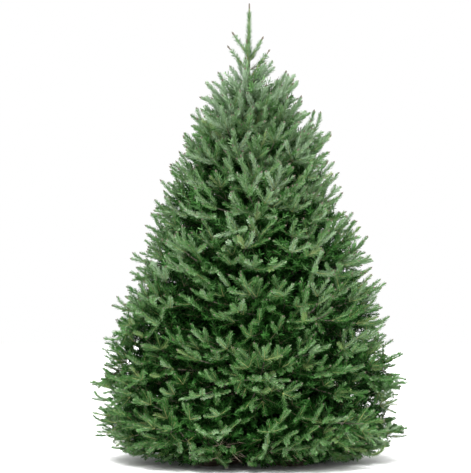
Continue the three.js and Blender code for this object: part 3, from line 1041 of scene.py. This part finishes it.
def add_buds(groups, material):
    """A small blunt bud at the end of each of this year's shoots."""
    for layer, group in groups.items():
        fresh = group["age"] == 0
        end = group["end"][fresh]
        along = unit(group["straight"] + 2 * group["bend"])[fresh]
        size = rng.uniform(*BUD_SPREAD, len(end)) * np.interp(end[:, 2], *BUD_FACTORS)
        size = np.where(group["density"][fresh] == 0, BARE_BUD, size)
        belly = rings_about(end + along * (BUD_LENGTH * BUD_BELLY * size)[:, None], along, BUD_RADIUS * size)
        root = (end - along * BUD_SUNK)[:, None]
        tip = (end + along * (BUD_LENGTH * size)[:, None])[:, None]
        points = np.concatenate([belly, root, tip], axis=1).reshape(-1, 3)
        pattern = [[i, j, 4] for i, j in SIDES] + [[j, i, 3] for i, j in SIDES]
        piece = mesh_piece(f"buds_{layer}", points, [repeated(pattern, len(end), 5)], [material])
        keep(piece, layer_nodes(layer))


# ---- Trunk, boughs and branches -----------------------------------------------------------------------

TRUNK_SIDES = 24
FOOT_TOP = 0.25  # the flared foot has its rings closer together
FOOT_RINGS = 25
STEM_RINGS = 150
STEM_END = 0.004  # below the leader's tip
COLLAR_HEIGHT = 0.018  # of the swelling at a whorl, either way
COLLAR_SWELL = 0.6
BARE_TIP = 0.04  # of the leader, brown below its bud

BOUGH_SIDES = 10
BOUGH_RINGS = 44
BOUGH_RADII = ([0.25, 1.1], [0.0132, 0.0095])  # at the root, by its height
BOUGH_TAPER = ([0, 0.06, 0.45, 1], [1.15, 1, 0.68, 0.14])

BRANCH_SIDES = 5
BRANCH_RINGS = 9
BRANCH_RADIUS = 0.0024  # at the root, apart from what its length adds
BRANCH_THICKENING = 0.006  # for each metre of its length
BRANCH_END_RADIUS = 0.0014
LAST_TWIG = 0.11  # this year's growth at a branch's end, which has no bark yet

TRUNK_RELIEF = 0.0011
BOUGH_RELIEF = 0.0006
RIDGES = Vector((55, 55, 18))
FINE_RIDGES = Vector((190, 190, 80))
BLISTERS = 95


def bark_relief(depth):
    """Long ridges, finer ones on them, and a few blisters, up to about this depth."""

    def relief(point):
        broad = noise.noise(point * RIDGES)
        fine = noise.noise(point * FINE_RIDGES)
        blister = max(0.0, noise.noise(point * BLISTERS) - 0.35)
        return depth * (0.6 * broad + 0.35 * fine + 1.6 * blister)

    return relief


def add_trunk(bark, leader_bark):
    low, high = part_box("trunk")
    foot_heights = np.linspace(low.z, FOOT_TOP, FOOT_RINGS + 1)[:-1]
    heights = np.concatenate([foot_heights, np.linspace(FOOT_TOP, high.z - STEM_END, STEM_RINGS)])
    middles, radii = zip(*(trunk_at(z) for z in heights))
    whorls = [node_points(bough_of(mass))[:, 2].min() for mass in MASSES if bough_of(mass)]
    collars = sum(np.exp(-(((heights - whorl) / COLLAR_HEIGHT) ** 2)) for whorl in whorls) / len(whorls)
    radii = np.array(radii) * (1 + COLLAR_SWELL * collars)
    corners, sides, caps = tube(np.array(middles), radii, TRUNK_SIDES, bark_relief(TRUNK_RELIEF))
    foot = corners[np.concatenate([sides[:, 0], caps[:, 0]]), 2]
    tones = (foot > HEIGHT * LEADER_FOOT) & (foot < high.z - BARE_TIP)
    piece = mesh_piece("trunk_bark", corners, [sides, caps], [bark, leader_bark], tones, smooth=True)
    keep(piece, ["trunk"])


def bough_tube(path):
    places = np.linspace(0, path.length, BOUGH_RINGS)
    radii = np.interp(places / path.length, *BOUGH_TAPER) * np.interp(path.points[0][2], *BOUGH_RADII)
    return tube(path.at(places), radii, BOUGH_SIDES, bark_relief(BOUGH_RELIEF))


def branch_tube(path):
    places = np.linspace(0, max(path.length - LAST_TWIG, path.length / 2), BRANCH_RINGS)
    root_radius = BRANCH_RADIUS + BRANCH_THICKENING * path.length
    radii = np.interp(places / path.length, [0, 1], [root_radius, BRANCH_END_RADIUS])
    return tube(path.at(places), radii, BRANCH_SIDES)


def add_limbs(material):
    for layer in LAYERS:
        masses = masses_of(layer)
        limbs = [bough_tube(boughs[mass]) for mass in masses if mass in boughs]
        limbs += [branch_tube(path) for path in branches[layer]]
        points, faces = joined(limbs)
        piece = mesh_piece(f"branches_{layer}", points, faces, [material], smooth=True)
        nodes = [bough_of(mass) for mass in masses if bough_of(mass)]
        keep(piece, nodes or masses)


# ---- The stand ----------------------------------------------------------------------------------------

STAND_TURNS = (45, 135)  # of the odd and of the even timbers and braces, in degrees
STAND_EDGE = 0.003


def add_stand(materials):
    """The CAD timbers and braces with worn edges."""
    for name in sorted(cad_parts):
        if not name.startswith("stand_"):
            continue
        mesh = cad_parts[name].data.copy()
        mesh.materials.clear()
        mesh.materials.append(materials[(int(name[-1]) + 1) % 2])
        piece = placed(name.replace("stand_", "cross_"), mesh)
        bevel = piece.modifiers.new("worn_edges", "BEVEL")
        bevel.width = STAND_EDGE
        bevel.segments = 2
        bevel.limit_method = "ANGLE"
        keep(piece, [name])


# ---- The whole tree -----------------------------------------------------------------------------------

add_camera()
add_light()
add_floor()

sheens = np.interp(range(len(NEEDLE_GREENS)), *NEEDLE_SHEENS)
needle_materials = [
    plain_material(f"needle_green_{i}", green, NEEDLE_ROUGHNESS, float(sheen))
    for i, (green, sheen) in enumerate(zip(NEEDLE_GREENS, sheens))
]
twig_materials = [
    plain_material(f"twig_brown_{i}", brown, TWIG_ROUGHNESS, DULL) for i, brown in enumerate(TWIG_BROWNS)
]
bark = bark_material("fir_bark", BARK_COLOURS)

grow_branches()
grow_leader()
thin_the_hollow()
groups = {layer: shoot_arrays(layer) for layer in LAYERS}
add_needles(groups, needle_materials)
add_twigs(groups, twig_materials)
add_buds(groups, plain_material("bud_brown", BUD_BROWN, BUD_ROUGHNESS, DULL))
add_trunk(bark, bark_material("leader_bark", LEADER_COLOURS))
add_limbs(bark)
add_stand([timber_material(turn) for turn in STAND_TURNS])
